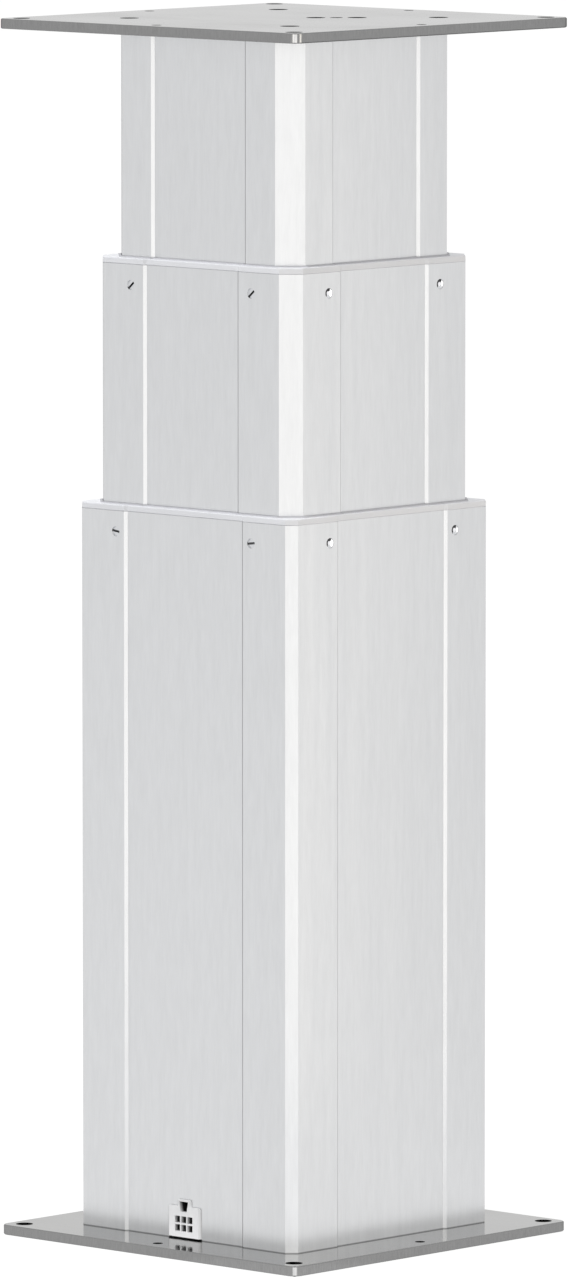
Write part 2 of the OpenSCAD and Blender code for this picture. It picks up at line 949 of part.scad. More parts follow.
// Plate under the middle profile: carries the hollow screw's bearings and clears the motor
module mid_bracket() {
    lightening_r = 14;
    lightening_off = 47;
    color([0.55, 0.56, 0.57])
        on_mid()
            difference() {
                union() {
                    translate([0, 0, bracket_z])
                        linear_extrude(bracket_t)
                            polygon(outline(mid_h, mid_chamfer, mid_p, -0.5));
                    at_drive() disc(bracket_z, housing_top, housing_r);
                }
                at_drive() disc(bracket_z - 1, bracket_z + housing_floor + 1, fixed_r + 1.5);
                at_drive() disc(bracket_z + housing_floor, housing_top + 1, housing_bore_r);
                at_drive()
                    three_ways()
                        translate([(housing_r + housing_bore_r) / 2, 0, 0])
                            disc(housing_top - 10, housing_top + 1, 1.5);
                at_motor() disc(bracket_z - 1, housing_top + 1, motor_r + 2.5);
                for (a = [135, 315])
                    rotate(a)
                        translate([lightening_off, 0, 0])
                            disc(bracket_z - 1, bracket_z + bracket_t + 1, lightening_r);
                corners(mid_port) disc(bracket_z - 1, bracket_z + bracket_t + 1, port_r + 0.3);
            }
}

module mid_bracket_screws() {
    color([0.35, 0.35, 0.36])
        on_mid()
            corners(mid_port)
                translate([0, 0, bracket_z])
                    rotate([180, 0, 0])
                        cap_screw(28, port_r, 4.2, 3);
}

// Thrust ball bearing: two washers with a ring of balls in a cage between them
module thrust_bearing(z) {
    washer = 2.4;
    ball_r = 1.8;
    ball_ring = (hollow_r + housing_bore_r) / 2;
    at_drive(z) {
        pipe(0, washer, housing_bore_r, hollow_r + 0.3);
        pipe(bearing_h - washer, bearing_h, housing_bore_r, hollow_r + 0.3);
        pipe(bearing_h / 2 - 0.6, bearing_h / 2 + 0.6, housing_bore_r - 1.2, hollow_r + 1.5);
        for (a = [0:30:330])
            rotate(a)
                translate([ball_ring, 0, bearing_h / 2])
                    sphere(r = ball_r, $fn = 24);
    }
}

module lower_thrust_bearing() {
    color([0.70, 0.71, 0.72])
        on_mid() thrust_bearing(bracket_z + housing_floor);
}

module upper_thrust_bearing() {
    color([0.70, 0.71, 0.72])
        on_mid() thrust_bearing(collar_z + collar_h);
}

module bearing_retainer() {
    color([0.50, 0.51, 0.52])
        on_mid()
            at_drive()
                difference() {
                    pipe(housing_top, housing_top + retainer_t, housing_r, hollow_r + 1);
                    three_ways()
                        translate([(housing_r + housing_bore_r) / 2, 0, 0])
                            disc(housing_top - 1, housing_top + retainer_t + 1, 1.8);
                }
}

module retainer_screws() {
    color([0.35, 0.35, 0.36])
        on_mid()
            at_drive(housing_top + retainer_t)
                three_ways()
                    translate([(housing_r + housing_bore_r) / 2, 0, 0])
                        cap_screw(10, 1.5, 2.6, 1.8);
}

module hollow_screw() {
    color([0.64, 0.65, 0.66])
        on_mid()
            at_drive()
                difference() {
                    union() {
                        disc(hollow_z, hollow_top, hollow_r);
                        disc(collar_z + 0.1, collar_z + collar_h - 0.1, collar_r);
                    }
                    disc(hollow_z - 1, inner_nut_top, nut_seat_r);
                    disc(hollow_z, hollow_top + 1, hollow_bore_r);
                    translate([-key_r - key_play, -key_w / 2 - key_play, inner_nut_top - 1])
                        cube([2 * (key_r + key_play), key_w + 2 * key_play, hollow_top]);
                }
}

module inner_nut() {
    color([0.75, 0.58, 0.28])
        on_mid()
            at_drive()
                pipe(hollow_z, inner_nut_top, nut_seat_r, fixed_r + 0.3);
}

module inner_profile() {
    color([0.84, 0.85, 0.86])
        on_inner()
            difference() {
                translate([0, 0, inner_z])
                    stage_profile(inner_h, inner_chamfer, inner_p, inner_len, inner_port);
                wall_holes(inner_h, inner_foot_x, inner_z + foot_pad_z + foot_pad_h / 2, set_screw_r);
            }
}

// Places of the plug's fixings along the diagonal, from the screw's axis
module plug_screws() {
    for (s = [-1, 1])
        at_drive()
            rotate(45)
                translate([s * plug_screw_off, 0, 0])
                    children();
}

module top_plate() {
    color([0.62, 0.63, 0.64])
        on_inner()
            translate([0, 0, inner_top])
                difference() {
                    plate(top_t);
                    fixing_holes(top_t);
                    corners(inner_port) translate([0, 0, top_t]) countersink(port_r);
                    plug_screws() translate([0, 0, top_t]) countersink(port_r);
                    at_drive() disc(-1, top_t + 1, 3.2);
                }
}

module top_plate_screws() {
    color([0.35, 0.35, 0.36])
        on_inner()
            corners(inner_port)
                translate([0, 0, inner_top + top_t - head_drop])
                    countersunk_screw(28, port_r);
}

module inner_foot_pads() {
    color([0.90, 0.90, 0.88])
        on_inner() translate([0, 0, inner_z]) foot_pads(inner_h, inner_foot_x);
}

module push_tube() {
    color([0.72, 0.73, 0.74])
        on_inner()
            at_drive()
                pipe(outer_nut_z + outer_nut_thread, inner_top - plug_flange_t, tube_r, tube_bore_r);
}

module push_tube_plug() {
    color([0.60, 0.61, 0.62])
        on_inner()
            difference() {
                at_drive() {
                    disc(inner_top - plug_flange_t, inner_top, plug_flange_r);
                    disc(inner_top - plug_flange_t - plug_spigot, inner_top, tube_bore_r);
                }
                plug_screws() disc(inner_top - 18, inner_top + 1, port_r);
                at_drive() disc(inner_top - 40, inner_top + 1, 2.5);
            }
}

module push_tube_screws() {
    color([0.35, 0.35, 0.36])
        on_inner()
            plug_screws()
                translate([0, 0, inner_top + top_t - head_drop])
                    countersunk_screw(20, port_r);
}

module outer_nut() {
    flat = 22;
    color([0.75, 0.58, 0.28])
        on_inner()
            at_drive()
                difference() {
                    disc(outer_nut_z, outer_nut_z + outer_nut_h, outer_nut_r);
                    disc(outer_nut_z - 1, outer_nut_z + outer_nut_h, hollow_r + 0.3);
                    disc(outer_nut_z + outer_nut_thread, outer_nut_z + outer_nut_h + 1, tube_r);
                    for (s = [0, 180])
                        rotate(45 + s)
                            translate([flat, -30, outer_nut_z - 1])
                                cube([10, 60, 13]);
                    nut_screw_places(outer_nut_r + 1);
                }
}

module nut_screw_places(reach) {
    three_ways()
        translate([tube_r + 0.2, 0, outer_nut_z + outer_nut_h - 4])
            rotate([0, 90, 0])
                cylinder(h = reach - tube_r - 0.2, r = 2);
}

module outer_nut_screws() {
    color([0.35, 0.35, 0.36])
        on_inner() at_drive() nut_screw_places(outer_nut_r - 0.3);
}

base_plate();
profile_foot_screws();
outer_profile();
outer_rim_cap();
outer_wiper();
outer_set_screws();
outer_adjusting_pads();
outer_fixed_pads();
socket_housing();
socket_contacts();
motor_lead();
gear_case();
gear_case_lid();
gear_case_screws();
drive_rod_bush();
drive_rod_bearing();
motor_housing();
motor_end_cap();
motor_screws();
fixed_screw();
fixed_screw_bolts();
fixed_screw_bush();
motor_shaft();
motor_pinion();
drive_rod();
driven_gear();
driver_head();
drive_pins();
mid_profile();
mid_rim_cap();
mid_wiper();
mid_set_screws();
mid_adjusting_pads();
mid_fixed_pads();
mid_foot_pads();
mid_bracket();
mid_bracket_screws();
lower_thrust_bearing();
upper_thrust_bearing();
bearing_retainer();
retainer_screws();
hollow_screw();
inner_nut();
inner_profile();
top_plate();
top_plate_screws();
inner_foot_pads();
push_tube();
push_tube_plug();
push_tube_screws();
outer_nut();
outer_nut_screws();
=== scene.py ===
"""Electric lifting column with three nested square profiles: finishes, peg caps, studio and camera.

Lengths are metres, in the frame of the solid model: +Z is up and the origin is the middle
of the base plate's underside. Grain scales are per metre along x, y and z, and tones are
shares of a finish's own colour.
"""

import json
import math

import bmesh
import bpy
from bpy.props import FloatProperty, FloatVectorProperty, PointerProperty
from bpy.types import Operator, Panel, PropertyGroup
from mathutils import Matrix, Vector


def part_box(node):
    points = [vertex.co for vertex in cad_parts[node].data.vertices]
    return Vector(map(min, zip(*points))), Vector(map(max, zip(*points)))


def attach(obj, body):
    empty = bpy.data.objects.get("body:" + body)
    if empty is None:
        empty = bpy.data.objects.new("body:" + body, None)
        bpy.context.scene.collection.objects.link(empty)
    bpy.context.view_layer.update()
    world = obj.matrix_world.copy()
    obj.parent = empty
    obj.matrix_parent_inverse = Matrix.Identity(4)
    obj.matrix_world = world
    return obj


bl_info = {
    "name": "Electric lifting column",
    "version": (1, 0, 0),
    "blender": (4, 5, 0),
    "location": "View3D > Sidebar > Lifting column",
    "description": "Finishes the lifting column and lights it in a pale studio",
    "category": "Object",
}

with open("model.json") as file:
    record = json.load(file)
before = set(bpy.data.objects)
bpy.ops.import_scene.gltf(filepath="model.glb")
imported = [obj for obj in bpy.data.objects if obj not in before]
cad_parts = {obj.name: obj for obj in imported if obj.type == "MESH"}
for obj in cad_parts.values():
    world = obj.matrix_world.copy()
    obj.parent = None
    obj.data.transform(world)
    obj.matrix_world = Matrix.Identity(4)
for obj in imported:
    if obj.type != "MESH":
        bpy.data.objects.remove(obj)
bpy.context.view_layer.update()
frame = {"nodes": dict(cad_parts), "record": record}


# ---------------------------------------------------------------- settings


def colour_property(name, description, default):
    """A colour that the panel shows as a swatch."""
    return FloatVectorProperty(
        name=name, description=description, subtype="COLOR", size=3, min=0.0, max=1.0, default=default
    )


def level_property(name, description, default, highest=1.0):
    """A share or a level of light, from none to its highest."""
    return FloatProperty(name=name, description=description, default=default, min=0.0, max=highest)


def power_property(name, description, default):
    """The power of a lamp in watts."""
    return FloatProperty(name=name, description=description, default=default, min=0.0, unit="POWER")


class ColumnFinishes(PropertyGroup):
    """Colours of the column's materials."""

    aluminium: colour_property(
        "Anodised aluminium", "Brushed and anodised faces of the three profiles", (0.668, 0.675, 0.686)
    )
    base_steel: colour_property("Base plate", "Ground faces of the base plate", (0.78, 0.78, 0.77))
    top_steel: colour_property("Top plate", "Ground faces of the top plate", (0.66, 0.66, 0.65))
    plate_edge: colour_property("Plate edge", "Milled edges of the two plates", (0.26, 0.26, 0.26))
    rim_plastic: colour_property(
        "Rim caps", "Acetal of the caps that close the profiles' rims", (0.80, 0.81, 0.845)
    )
    pad_plastic: colour_property("Slide pads", "Acetal of the slide pads", (0.84, 0.84, 0.82))
    zinc: colour_property("Zinc plating", "Plating of the screws and pins", (0.66, 0.67, 0.69))
    # Bright plating that paints a highlight in the middle of the pegs' caps
    bright_plating: colour_property("Peg caps", "Bright plating of the pegs' dished caps", (0.9, 0.9, 0.92))
    socket_plastic: colour_property("Socket", "Moulded housing of the socket", (0.84, 0.845, 0.86))
    lead_jacket: colour_property("Motor lead", "Jacket of the lead inside the foot", (0.05, 0.05, 0.055))
    wiper_rubber: colour_property("Wipers", "Rubber lips on the rim caps", (0.50, 0.50, 0.53))
    case_plastic: colour_property(
        "Gear case", "Glass-filled nylon of the gear case and motor cap", (0.035, 0.035, 0.04)
    )
    contact_tin: colour_property("Contacts", "Tin on the socket's contacts", (0.75, 0.74, 0.71))
    black_oxide: colour_property("Black oxide", "Blackened screws", (0.035, 0.035, 0.038))
    bearing_steel: colour_property("Bearing steel", "Ground rings, shafts and pinion", (0.62, 0.62, 0.62))
    cast_metal: colour_property("Castings", "Gear case lid, bracket and push tube", (0.58, 0.585, 0.59))
    motor_coat: colour_property("Motor coat", "Coating of the motor housing", (0.045, 0.045, 0.05))
    spindle_steel: colour_property("Spindle steel", "Rolled and oiled screws and shafts", (0.56, 0.565, 0.57))
    bronze: colour_property("Bronze", "Nuts and bushes", (0.72, 0.47, 0.20))
    gear_plastic: colour_property("Driven gear", "Moulded teeth of the driven gear", (0.78, 0.76, 0.68))


class ColumnStudio(PropertyGroup):
    """Light and floor round the column."""

    floor_tone: level_property("Floor tone", "How much of the light the floor gives back", 0.12)
    floor_glow: level_property("Floor glow", "White that the floor adds to its own tone", 0.925)
    sky_level: level_property("Sky level", "Even light from all round", 0.7, highest=2.0)
    key_power: power_property("Key lamp", "Power of the high soft lamp at the left", 60.0)
    front_power: power_property("Front lamp", "Power of the wide lamp in front", 0.41)
    strip_power: power_property("Front strips", "Power of each strip lamp beside the front lamp", 0.17)
    high_power: power_property("High front lamp", "Power of the far lamp in front", 8.0)
    right_power: power_property("Right lamp", "Power of the strip lamp at the right", 0.7)


# ---------------------------------------------------------------- shader nodes


# Where noise mostly keeps
NOISE_RANGE = (0.3, 0.7)


class Nodes:
    """Shader nodes of one material or of the sky, added one by one."""

    def __init__(self, data):
        data.use_nodes = True
        self.nodes = data.node_tree.nodes
        self.links = data.node_tree.links

    def join(self, value, socket):
        """Links another node's output to a socket, or sets the socket to a plain value."""
        if isinstance(value, bpy.types.NodeSocket):
            self.links.new(value, socket)
        else:
            socket.default_value = value

    def place(self):
        """The point that is shaded, in the object's own frame."""
        return self.nodes.new("ShaderNodeTexCoord").outputs["Object"]

    def facing(self, output):
        """The Normal of the surface, or its True Normal, which smooth shading leaves alone."""
        return self.nodes.new("ShaderNodeNewGeometry").outputs[output]

    def maths(self, operation, first, second=0.0):
        node = self.nodes.new("ShaderNodeMath")
        node.operation = operation
        self.join(first, node.inputs[0])
        self.join(second, node.inputs[1])
        return node.outputs["Value"]

    def product(self, first, *others):
        """All the values multiplied together."""
        for other in others:
            first = self.maths("MULTIPLY", first, other)
        return first

    def ramp(self, value, start, end, low, high):
        """Value from start to end taken to the range from low to high."""
        node = self.nodes.new("ShaderNodeMapRange")
        for name, number in (("From Min", start), ("From Max", end), ("To Min", low), ("To Max", high)):
            node.inputs[name].default_value = number
        self.links.new(value, node.inputs["Value"])
        return node.outputs["Result"]

    def axes(self, vector):
        """A vector's parts by the names X, Y and Z."""
        node = self.nodes.new("ShaderNodeSeparateXYZ")
        self.links.new(vector, node.inputs["Vector"])
        return node.outputs

    def across(self, vector, operation):
        """The larger (MAXIMUM) or the smaller (MINIMUM) of a vector's x and y, without their signs."""
        parts = self.axes(vector)
        return self.maths(operation, *[self.maths("ABSOLUTE", parts[axis]) for axis in "XY"])

    def vector_maths(self, operation, vector):
        node = self.nodes.new("ShaderNodeVectorMath")
        node.operation = operation
        self.join(vector, node.inputs[0])
        return node

    def scaled(self, colour, tone):
        """A colour times a tone."""
        node = self.vector_maths("SCALE", colour)
        self.links.new(tone, node.inputs["Scale"])
        return node.outputs["Vector"]

    def towards(self, vector, direction):
        """1 where a vector points along the direction, 0 across it and -1 against it."""
        node = self.vector_maths("DOT_PRODUCT", self.vector_maths("NORMALIZE", vector).outputs["Vector"])
        node.inputs[1].default_value = direction
        return node.outputs["Value"]


class Finish(Nodes):
    """One node material, built socket by socket on its own Principled shader."""

    def __init__(self, name, colour, metallic=0.0, roughness=0.5, ior=1.5):
        self.material = bpy.data.materials.new(name)
        super().__init__(self.material)
        self.shader = self.nodes["Principled BSDF"]
        self.colour = tuple(colour)
        self.point = self.place()
        self.set("Base Color", (*colour, 1.0))
        self.set("Metallic", metallic)
        self.set("Roughness", roughness)
        self.set("IOR", ior)

    def set(self, socket, value):
        self.join(value, self.shader.inputs[socket])

    def grain(self, scale, detail=2.0):
        """Noise in the object's own frame, stretched by scale along x, y and z."""
        mapping = self.nodes.new("ShaderNodeMapping")
        mapping.inputs["Scale"].default_value = scale
        self.links.new(self.point, mapping.inputs["Vector"])
        noise = self.nodes.new("ShaderNodeTexNoise")
        noise.inputs["Scale"].default_value = 1.0
        noise.inputs["Detail"].default_value = detail
        self.links.new(mapping.outputs["Vector"], noise.inputs["Vector"])
        return noise.outputs["Fac"]

    def spread(self, noise, low, high):
        """Noise taken to the range from low to high."""
        return self.ramp(noise, *NOISE_RANGE, low, high)

    def vary(self, noise, share):
        """A tone that noise moves up and down round 1 by a share."""
        return self.spread(noise, 1.0 - share, 1.0 + share)

    def toned(self, *tones):
        """The finish's own colour times its tones."""
        return self.scaled(self.colour, self.product(*tones))

    def blend(self, factor, first, second):
        """From the first colour to the second as the factor goes from 0 to 1."""
        node = self.nodes.new("ShaderNodeMix")
        node.data_type = "RGBA"
        self.links.new(factor, node.inputs["Factor"])
        colours = [socket for socket in node.inputs if socket.type == "RGBA"]
        for colour, socket in zip((first, second), colours):
            self.links.new(colour, socket)
        return next(socket for socket in node.outputs if socket.type == "RGBA")

    def bump(self, height, distance, strength):
        node = self.nodes.new("ShaderNodeBump")
        node.inputs["Distance"].default_value = distance
        node.inputs["Strength"].default_value = strength
        self.links.new(height, node.inputs["Height"])
        self.set("Normal", node.outputs["Normal"])

    def brush_upright(self, amount):
        """Highlights spread sideways, as on metal brushed up and down."""
        tangent = self.nodes.new("ShaderNodeTangent")
        tangent.direction_type = "RADIAL"
        tangent.axis = "Z"
        self.set("Anisotropic", amount)
        self.set("Tangent", tangent.outputs["Tangent"])


# ---------------------------------------------------------------- finishes


# Brushed profiles: grains, and how much each one moves the tone
BRUSH_FINE = (1300.0, 1300.0, 150.0)
BRUSH_STREAKS = (380.0, 380.0, 55.0)
DRAW_LINES = (260.0, 260.0, 5.0)
BRUSH_CLOUDS = (9.0, 9.0, 3.0)
FINE_SHARE, STREAK_SHARE, LINE_SHARE, CLOUD_SHARE = 0.015, 0.018, 0.01, 0.005
# Band darker towards the foot of a profile, just above the base plate: the heights between which it
# clears, and its tone
FOOT_LINE = (0.0002, 0.0006)
FOOT_TONE = 0.5
# Painted shade lines on the sloping steps of the sunk panels: how much a face has to slope to be one,
# how far from the column's middle they reach, over what width they end, and their darker tint
SLOPE_RANGE = (0.25, 0.4)
PANEL_REACH = 0.045
PANEL_EDGE = 0.001
STEP_SHADE_TINT = 0.35

# Ground plates: grains, how much each one moves the tone, and the sheen of each plate
GROUND_LINES = (60.0, 3200.0, 300.0)
GROUND_CLOUDS = (16.0, 30.0, 16.0)
MILLED_GRAIN = (1400.0, 1400.0, 220.0)
GROUND_SHARE = 0.03
MILLED_SHARE = 0.08
PLATE_SHEEN = {"base_plate": 0.62, "top_plate": 0.54}
# Which faces of a plate are flat (by the z of their direction) and which are its rounded corners
# (by the smaller of x and y); the corners are lighter
FLAT_RANGE = (0.8, 0.95)
CORNER_RANGE = (0.5, 0.6)
CORNER_LIGHTER_TONE = 2.3
EDGE_ROUGH = 0.08
# Walls of the plates' holes: painted shade, dark further in than EDGE_DEPTH from the rim
HOLE_SHADE_TONE = 0.1
EDGE_DEPTH = 0.0015
EDGE_BLUR = 0.0003

# Spark-eroded skin of the moulded parts
MOULDED_IOR = 1.48
SKIN_GRAIN = (1800.0, 1800.0, 1800.0)
SKIN_TONES = (0.985, 1.01)
MOULDED_TONES = (0.97, 1.02)
SKIN_BUMP = {"distance": 0.00002, "strength": 0.35}

# Fine grain of plain metal, and of metal turned round the column's axis
METAL_GRAIN = (900.0, 900.0, 900.0)
TURNED_GRAIN = (700.0, 700.0, 2400.0)

# Painted shade in the set screws' slots: depths below the face where it is dark and where it clears, and
# its tone
SLOT_DEPTHS = (0.0003, 0.00005)
SLOT_SHADE_TONE = 0.14
# Painted shade in the socket's cavities: depths below the face where it starts to darken and where it is
# full, and its tone
CAVITY_DEPTHS = (0.0005, 0.0024)
CAVITY_SHADE_TONE = 0.02


def brushed_aluminium(finishes):
    """Extrusion brushed along its length, then anodised in its natural colour, with painted shade lines along
    its panel steps.
    """
    finish = Finish("brushed_aluminium", finishes.aluminium, metallic=1.0, roughness=0.3)
    fine = finish.grain(BRUSH_FINE)
    streaks = finish.grain(BRUSH_STREAKS, detail=1.5)
    draw_lines = finish.grain(DRAW_LINES)
    clouds = finish.grain(BRUSH_CLOUDS)
    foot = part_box("base_plate")[1].z
    start, end = (foot + height for height in FOOT_LINE)
    tones = (
        finish.vary(fine, FINE_SHARE),
        finish.vary(streaks, STREAK_SHARE),
        finish.vary(draw_lines, LINE_SHARE),
        finish.vary(clouds, CLOUD_SHARE),
        finish.ramp(finish.axes(finish.point)["Z"], start, end, FOOT_TONE, 1.0),
    )
    finish.set("Base Color", finish.toned(*tones))
    finish.set("Roughness", finish.spread(draw_lines, 0.285, 0.325))
    finish.bump(fine, distance=0.00001, strength=0.25)
    finish.brush_upright(0.5)
    # Painted shade: the sloping steps of the panels get a darker reflection tint
    sloping = finish.ramp(finish.across(finish.facing("True Normal"), "MINIMUM"), *SLOPE_RANGE, 0.0, 1.0)
    off_axis = finish.across(finish.point, "MINIMUM")
    by_panel = finish.ramp(off_axis, PANEL_REACH, PANEL_REACH + PANEL_EDGE, 1.0, 0.0)
    step = finish.maths("MULTIPLY", sloping, by_panel)
    finish.set("Specular Tint", finish.ramp(step, 0.0, 1.0, 1.0, STEP_SHADE_TINT))
    return finish.material


def ground_steel(finishes, node, colour):
    """Cold-rolled plate ground on its faces, with darker milled edges, lighter rounded corners and painted
    shade on the walls of its holes.
    """
    finish = Finish(node + "_steel", colour, metallic=1.0, roughness=0.14)
    lines = finish.grain(GROUND_LINES, detail=3.0)
    clouds = finish.grain(GROUND_CLOUDS, detail=4.0)
    milled = finish.grain(MILLED_GRAIN)
    normal = finish.facing("Normal")
    flat = finish.ramp(finish.maths("ABSOLUTE", finish.axes(normal)["Z"]), *FLAT_RANGE, 0.0, 1.0)
    ground = finish.toned(finish.vary(lines, GROUND_SHARE), finish.vary(clouds, GROUND_SHARE))
    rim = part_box("base_plate")[1].x - EDGE_DEPTH
    # Painted shade: edge faces further in than the plate's rim are the walls of its holes
    painted_hole_shade = finish.ramp(finish.across(finish.point, "MAXIMUM"), rim - EDGE_BLUR, rim, HOLE_SHADE_TONE, 1.0)
    lighter_corners = finish.ramp(finish.across(normal, "MINIMUM"), *CORNER_RANGE, 1.0, CORNER_LIGHTER_TONE)
    edge_tone = finish.product(finish.vary(milled, MILLED_SHARE), painted_hole_shade, lighter_corners)
    finish.set("Base Color", finish.blend(flat, finish.scaled(finishes.plate_edge, edge_tone), ground))
    edge_rough = finish.ramp(flat, 0.0, 1.0, EDGE_ROUGH, 0.0)
    finish.set("Roughness", finish.maths("ADD", edge_rough, finish.spread(clouds, 0.08, 0.14)))
    finish.bump(lines, distance=0.000004, strength=0.3)
    sheen = PLATE_SHEEN[node]
    finish.set("Specular Tint", (sheen, sheen, sheen, 1.0))
    return finish.material


def moulded_plastic(name, colour, roughness):
    """Moulded part with a fine spark-eroded skin."""
    finish = Finish(name, colour, roughness=roughness, ior=MOULDED_IOR)
    skin = finish.grain(SKIN_GRAIN)
    clouds = finish.grain((45.0, 45.0, 45.0), detail=3.0)
    finish.set(
        "Base Color", finish.toned(finish.spread(clouds, *MOULDED_TONES), finish.spread(skin, *SKIN_TONES))
    )
    finish.set("Roughness", finish.spread(skin, roughness - 0.05, roughness + 0.06))
    finish.bump(skin, **SKIN_BUMP)
    return finish.material


def socket_nylon(finishes):
    """Pale nylon, with painted shade darkening it down the cavities until they are black."""
    finish = Finish("socket_nylon", finishes.socket_plastic, roughness=0.45, ior=MOULDED_IOR)
    skin = finish.grain(SKIN_GRAIN)
    clouds = finish.grain((60.0, 60.0, 60.0), detail=3.0)
    pale = finish.toned(finish.spread(clouds, *MOULDED_TONES), finish.spread(skin, *SKIN_TONES))
    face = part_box("socket_housing")[0].y
    start, end = (face + depth for depth in CAVITY_DEPTHS)
    # Painted shade: the nylon darkens with depth below the socket's face
    painted_cavity_shade = finish.ramp(finish.axes(finish.point)["Y"], start, end, 1.0, CAVITY_SHADE_TONE)
    finish.set("Base Color", finish.scaled(pale, painted_cavity_shade))
    finish.set("Roughness", finish.spread(skin, 0.4, 0.52))
    finish.bump(skin, **SKIN_BUMP)
    return finish.material


def plain_metal(name, colour, roughness, grain=METAL_GRAIN, depth=0.00001, share=0.05):
    """Metal with a fine grain and a slightly uneven polish."""
    finish = Finish(name, colour, metallic=1.0, roughness=roughness)
    fine = finish.grain(grain, detail=3.0)
    clouds = finish.grain((70.0, 70.0, 70.0), detail=3.0)
    finish.set("Base Color", finish.toned(finish.vary(fine, share), finish.spread(clouds, 0.95, 1.03)))
    finish.set("Roughness", finish.spread(clouds, max(roughness - 0.06, 0.05), roughness + 0.08))
    finish.bump(fine, distance=depth, strength=0.5)
    return finish.material


def black_oxide(finishes):
    """Blackened steel, matt where the oxide is thick."""
    finish = Finish("black_oxide", finishes.black_oxide)
    clouds = finish.grain((300.0, 300.0, 300.0), detail=4.0)
    finish.set("Base Color", finish.toned(finish.spread(clouds, 0.7, 1.4)))
    finish.set("Roughness", finish.spread(clouds, 0.42, 0.6))
    finish.set("Specular Tint", (0.35, 0.35, 0.37, 1.0))
    return finish.material


def slotted_screws(finishes, node):
    """Zinc-plated set screws with painted shade in their slots below the face."""
    finish = Finish(node, finishes.zinc, metallic=1.0, roughness=0.3)
    clouds = finish.grain((400.0, 400.0, 400.0), detail=3.0)
    face = -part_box(node)[0].y
    start, end = (face - depth for depth in SLOT_DEPTHS)
    # Painted shade: the screw is dark deeper than the face, where its slot lies in shadow
    slot = finish.ramp(finish.across(finish.point, "MAXIMUM"), start, end, SLOT_SHADE_TONE, 1.0)
    finish.set("Base Color", finish.toned(slot, finish.spread(clouds, 0.93, 1.05)))
    finish.set("Roughness", finish.spread(clouds, 0.24, 0.38))
    return finish.material


def dip_coat(name, colour, roughness):
    """Cathodic dip coat with faint orange peel."""
    finish = Finish(name, colour, roughness=roughness)
    peel = finish.grain((420.0, 420.0, 420.0))
    dust = finish.grain((60.0, 60.0, 60.0), detail=5.0)
    finish.set("Base Color", finish.toned(finish.spread(dust, 0.9, 1.12)))
    finish.set("Roughness", finish.spread(dust, roughness - 0.06, roughness + 0.08))
    finish.bump(peel, distance=0.00003, strength=0.4)
    finish.set("Coat Weight", 0.3)
    finish.set("Coat Roughness", 0.2)
    return finish.material


def wear(solid, material):
    """Puts the material on every slot of one solid."""
    if not solid.material_slots:
        solid.data.materials.append(material)
    for slot in solid.material_slots:
        slot.material = material


def dress(slot, material):
    """Puts the material on every solid that the record gives this slot."""
    for part in frame["record"]["subparts"]:
        if part["material_slot"] == slot:
            wear(frame["nodes"][part["node"]], material)


# ---------------------------------------------------------------- peg caps


# How far the pegs of each stage stand from the middle of a face
PEG_OFFSETS = {"outer": 0.0455, "mid": 0.0404}
# A cap from the rim of its back to the middle of its dish: radius, and depth below the profile's face
DIMPLE_PROFILE = (
    (2.30e-3, 1.20e-3),
    (2.42e-3, 1.10e-3),
    (2.42e-3, 0.10e-3),
    (2.30e-3, 0.12e-3),
    (1.95e-3, 0.28e-3),
    (1.50e-3, 0.45e-3),
    (1.00e-3, 0.58e-3),
    (0.50e-3, 0.65e-3),
    (0.20e-3, 0.66e-3),
)
DIMPLE_SIDES = 40
# Painted highlight of bright plating within this radius of a cap's middle; painted shadow of black oxide in
# its upper left, within this reach
PAINTED_HIGHLIGHT_RADIUS = 1.05e-3
PAINTED_SHADOW_REACH = 0.9e-3
PLAIN, PAINTED_HIGHLIGHT, PAINTED_SHADOW = 0, 1, 2


def dish_finish(point, offset, height):
    """Finish of a cap at a point: a painted highlight of bright plating in the middle, a painted shadow of
    black oxide in the upper left, else plain plating.
    """
    along = point.y if point.x > point.y else -point.x
    along -= math.copysign(offset, along)
    up = point.z - height
    if math.hypot(along, up) < PAINTED_HIGHLIGHT_RADIUS:
        return PAINTED_HIGHLIGHT
    return PAINTED_SHADOW if up > along and along < PAINTED_SHADOW_REACH else PLAIN


def add_cap(shape, face, side, height, turned):
    """One cap on the face at +X, or turned on the face at +Y, as rings round its axis."""
    rings = []
    for radius, depth in DIMPLE_PROFILE:
        ring = []
        for step in range(DIMPLE_SIDES):
            angle = 2 * math.pi * step / DIMPLE_SIDES
            out, along, up = face - depth, side + radius * math.cos(angle), height + radius * math.sin(angle)
            ring.append(shape.verts.new((along, out, up) if turned else (out, along, up)))
        rings.append(ring)
    for first, second in zip(rings, rings[1:]):
        for a in range(DIMPLE_SIDES):
            b = (a + 1) % DIMPLE_SIDES
            shape.faces.new((first[a], first[b], second[b], second[a]))
    shape.faces.new(rings[0])
    shape.faces.new(rings[-1])


def peg_dimples(stage, offset):
    """Dished caps in the ends of a profile's fixed pegs, level with its set screws, each with a painted
    highlight and a painted shadow.
    """
    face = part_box(stage + "_profile")[1].x
    low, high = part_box(stage + "_set_screws")
    height = (low.z + high.z) / 2
    mesh = bpy.data.meshes.new(stage + "_peg_dimples")
    shape = bmesh.new()
    for turned in (False, True):
        for side in (-offset, offset):
            add_cap(shape, face, side, height, turned)
    bmesh.ops.recalc_face_normals(shape, faces=shape.faces)
    shape.to_mesh(mesh)
    shape.free()
    for facet in mesh.polygons:
        facet.use_smooth = len(facet.vertices) == 4
        facet.material_index = dish_finish(facet.center, offset, height)
    piece = bpy.data.objects.new(stage + "_peg_dimples", mesh)
    bpy.context.scene.collection.objects.link(piece)
    return piece


# ---------------------------------------------------------------- operators of the column


